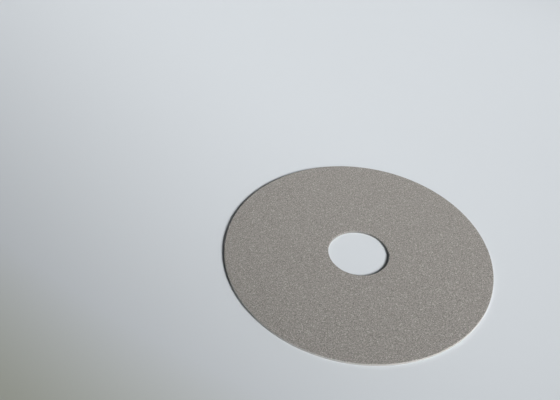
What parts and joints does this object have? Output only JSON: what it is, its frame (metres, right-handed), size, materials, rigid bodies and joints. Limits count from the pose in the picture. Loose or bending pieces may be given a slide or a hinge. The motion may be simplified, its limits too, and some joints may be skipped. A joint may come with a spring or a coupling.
{
  "type": "sintered metal filter disc",
  "caption": "Thin flat round disc of porous sintered metal with a plain round hole at its centre, for filtering a fluid that flows through its faces.",
  "frame": {"origin": "centre of the bore on the disc's lower face, which is the face it lies on", "axes": "+Z along the disc's own axis, pointing up out of its upper face; +X and +Y lie in the lower face, and the disc is the same all round, so +X is any radius"},
  "size_m": [0.15, 0.15, 0.0015],
  "materials": {
    "sintered_metal": "matte"
  },
  "bodies": {
    "root": {"filter_disc": "sintered_metal"}
  },
  "joints": []
}
